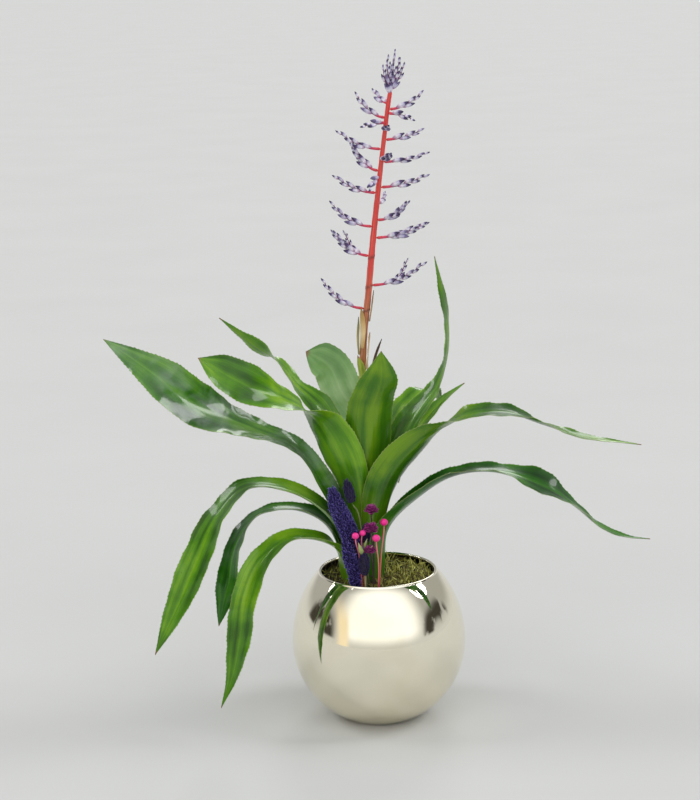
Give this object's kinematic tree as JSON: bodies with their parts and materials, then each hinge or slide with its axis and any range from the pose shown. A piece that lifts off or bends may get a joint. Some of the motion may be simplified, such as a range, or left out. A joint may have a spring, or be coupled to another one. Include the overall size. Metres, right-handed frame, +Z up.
{
  "type": "bromeliad in a vase",
  "caption": "Flowering bromeliad with arching strap leaves and a tall branched flower spike, planted in a round mirror-silvered glass vase with moss and dried accents.",
  "frame": {"origin": "centre of the vase's flat base, on the surface that it stands on", "axes": "+Z up along the vase's axis and the flower spike, +X to the right as seen from the front, +Y away from the front"},
  "size_m": [0.5958, 0.2961, 0.7624],
  "materials": {
    "silvered_glass": "polished",
    "potting_mix": "matte",
    "moss": "matte",
    "leaf_base": "satin",
    "leaf_green": "gloss",
    "flower_stem": "satin",
    "bract_green": "satin",
    "bract_dry": "matte",
    "flower_spike": "matte",
    "plume_violet": "matte",
    "seed_indigo": "matte",
    "globe_magenta": "matte",
    "ball_pink": "matte"
  },
  "bodies": {
    "root": {"vase": "silvered_glass", "potting_mix": "potting_mix", "moss": "moss", "crown": "leaf_base", "leaf_front": "leaf_green", "leaf_back_left": "leaf_green", "leaf_upper_left": "leaf_green", "leaf_right_upright": "leaf_green", "leaf_left_front": "leaf_green", "leaf_back_right": "leaf_green", "leaf_right_upper": "leaf_green", "leaf_back_inner": "leaf_green", "leaf_far_left": "leaf_green", "leaf_right_lower": "leaf_green", "leaf_arch_outer": "leaf_green", "leaf_arch_middle": "leaf_green", "leaf_arch_front": "leaf_green", "leaf_back_low_left": "leaf_green", "leaf_back_low_right": "leaf_green", "flower_stem": "flower_stem", "bract_green": "bract_green", "bract_olive": "bract_dry", "bract_gold": "bract_dry", "bract_brown": "bract_dry", "bract_papery": "bract_dry", "bract_sliver": "bract_dry", "spike_01": "flower_spike", "spike_02": "flower_spike", "spike_03": "flower_spike", "spike_04": "flower_spike", "spike_05": "flower_spike", "spike_06": "flower_spike", "spike_07": "flower_spike", "spike_08": "flower_spike", "spike_09": "flower_spike", "spike_10": "flower_spike", "spike_11": "flower_spike", "spike_12": "flower_spike", "spike_13": "flower_spike", "spike_14": "flower_spike", "spike_15": "flower_spike", "spike_16": "flower_spike", "spike_17": "flower_spike", "spike_18": "flower_spike", "spike_19": "flower_spike", "spike_20": "flower_spike", "spike_21": "flower_spike", "spike_top": "flower_spike", "plume_large": "plume_violet", "plume_small": "plume_violet", "seed_head": "seed_indigo", "dark_bud": "seed_indigo", "indigo_head": "seed_indigo", "globe_flower_upper": "globe_magenta", "globe_flower_middle": "globe_magenta", "globe_flower_lower": "globe_magenta", "pink_ball_left": "ball_pink", "pink_ball_back": "ball_pink", "pink_ball_front": "ball_pink", "pink_ball_right": "ball_pink"}
  },
  "joints": []
}
